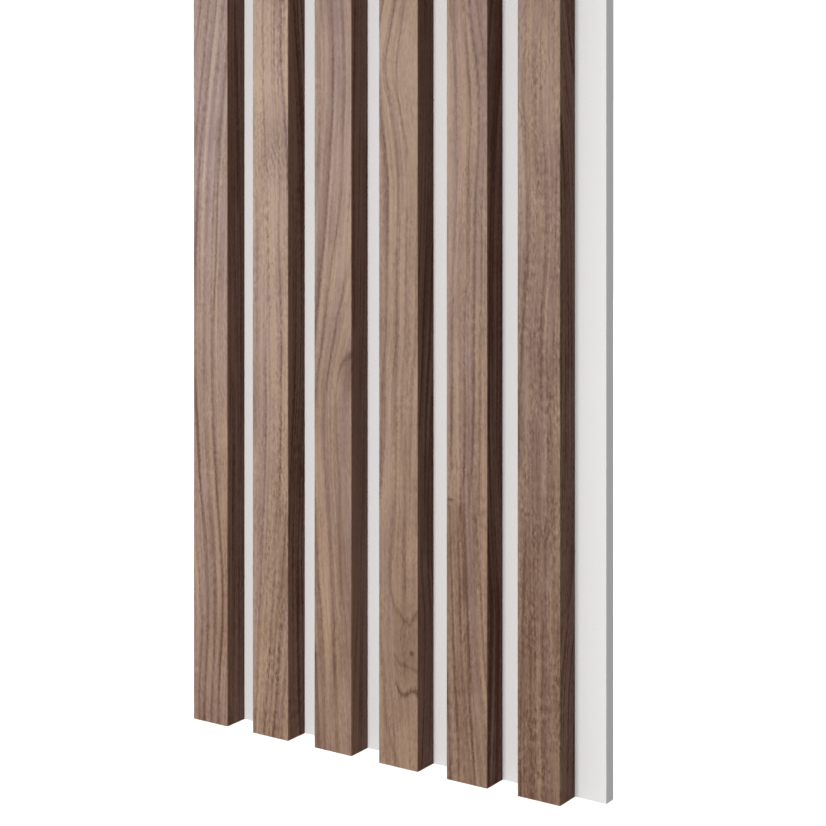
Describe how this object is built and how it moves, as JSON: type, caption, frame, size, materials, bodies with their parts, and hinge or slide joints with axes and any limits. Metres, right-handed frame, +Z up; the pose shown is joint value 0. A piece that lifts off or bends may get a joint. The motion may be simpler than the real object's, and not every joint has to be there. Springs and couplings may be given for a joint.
{
  "type": "acoustic slat wall panel",
  "caption": "Upright wall panel of evenly spaced walnut slats stapled to a white felt backing, with one side flush and one gap left at the other so that panels join in a run.",
  "frame": {"origin": "middle of the foot of the wall face, on the wall plane", "axes": "+Z up along the slats, +X to the right as seen from the front, +Y into the wall, so the slats face -Y"},
  "size_m": [0.3, 0.027, 1.2],
  "materials": {
    "felt": "matte pressed felt, white",
    "walnut": "satin walnut veneer",
    "staple_wire": "galvanised steel wire"
  },
  "bodies": {
    "root": {"felt_backing": "felt", "slat_1": "walnut", "slat_2": "walnut", "slat_3": "walnut", "slat_4": "walnut", "slat_5": "walnut", "slat_6": "walnut", "staples": "staple_wire"}
  },
  "joints": []
}
